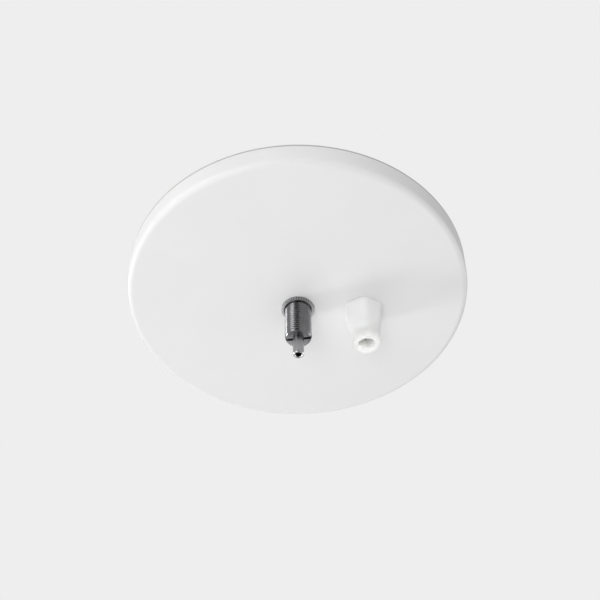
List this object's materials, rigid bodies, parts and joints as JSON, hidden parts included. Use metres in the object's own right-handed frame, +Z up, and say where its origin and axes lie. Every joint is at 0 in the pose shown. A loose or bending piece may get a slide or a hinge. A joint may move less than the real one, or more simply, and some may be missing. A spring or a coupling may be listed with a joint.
{
  "type": "electrical ceiling rose",
  "caption": "Shallow round white ceiling canopy for a pendant lamp, with a suspension-wire gripper at its centre, a tapered cord grip beside it, and a ceiling bracket and terminals inside.",
  "frame": {"origin": "on the ceiling plane, on the canopy's axis, midway between the bracket's two screw slots", "axes": "+Z up into the ceiling along the canopy's axis, +X towards the cord grip, +Y along the bracket"},
  "size_m": [0.13, 0.13, 0.0343],
  "materials": {
    "white_enamel": "semi-gloss white stove enamel on steel sheet",
    "dark_nickel": "polished dark nickel plate",
    "satin_nickel": "turned nickel plate",
    "ball_steel": "hardened bright steel",
    "brass": "turned brass",
    "zinc_steel": "bright zinc plate",
    "block_nylon": "natural moulded nylon",
    "white_plastic": "smooth white moulded plastic"
  },
  "bodies": {
    "ceiling_side": {"mounting_bracket": "zinc_steel", "bracket_nut": "zinc_steel", "gripper_housing": "dark_nickel", "spring_retainer": "brass", "gripper_spring": "ball_steel", "earth_screw": "brass", "earth_washer": "brass", "terminal_block": "block_nylon", "terminal_insert_1": "brass", "terminal_insert_2": "brass", "terminal_insert_3": "brass", "clamp_screws": "zinc_steel", "block_screws": "zinc_steel"},
    "plunger": {"gripper_plunger": "satin_nickel", "clamping_balls": "ball_steel"},
    "canopy_shell": {"canopy": "white_enamel", "cord_nipple": "zinc_steel", "nipple_washer": "zinc_steel", "nipple_nut": "zinc_steel"},
    "ring": {"ring_nut": "satin_nickel"},
    "jaws": {"cord_jaws": "white_plastic"},
    "cap": {"cord_cap": "white_plastic"}
  },
  "joints": [
    {"name": "plunger_press", "type": "slide", "parent": "ceiling_side", "child": "plunger", "axis": [0, 0, 1], "range_m": [0, 0.003], "stiffness_N_per_m": 600, "springref_m": -0.003, "deforming": ["gripper_spring"]},
    {"name": "canopy_drop", "type": "slide", "parent": "ceiling_side", "child": "canopy_shell", "axis": [0, 0, -1], "range_m": [0, 0.013]},
    {"name": "ring_turn", "type": "hinge", "parent": "canopy_shell", "child": "ring", "pos_m": [0, 0, -0.01035], "axis": [0, 0, -1], "range_deg": [0, 4680]},
    {"name": "jaws_drop", "type": "slide", "parent": "canopy_shell", "child": "jaws", "axis": [0, 0, -1], "range_m": [0, 0.005]},
    {"name": "cap_turn", "type": "hinge", "parent": "jaws", "child": "cap", "pos_m": [0.025, 0, -0.019], "axis": [0, 0, -1], "range_deg": [0, 1800]}
  ],
  "couplings": [
    {"joint": "ring_turn", "follows": "canopy_drop", "rad_per_m": 6283.2},
    {"joint": "cap_turn", "follows": "jaws_drop", "rad_per_m": 6283.2}
  ]
}
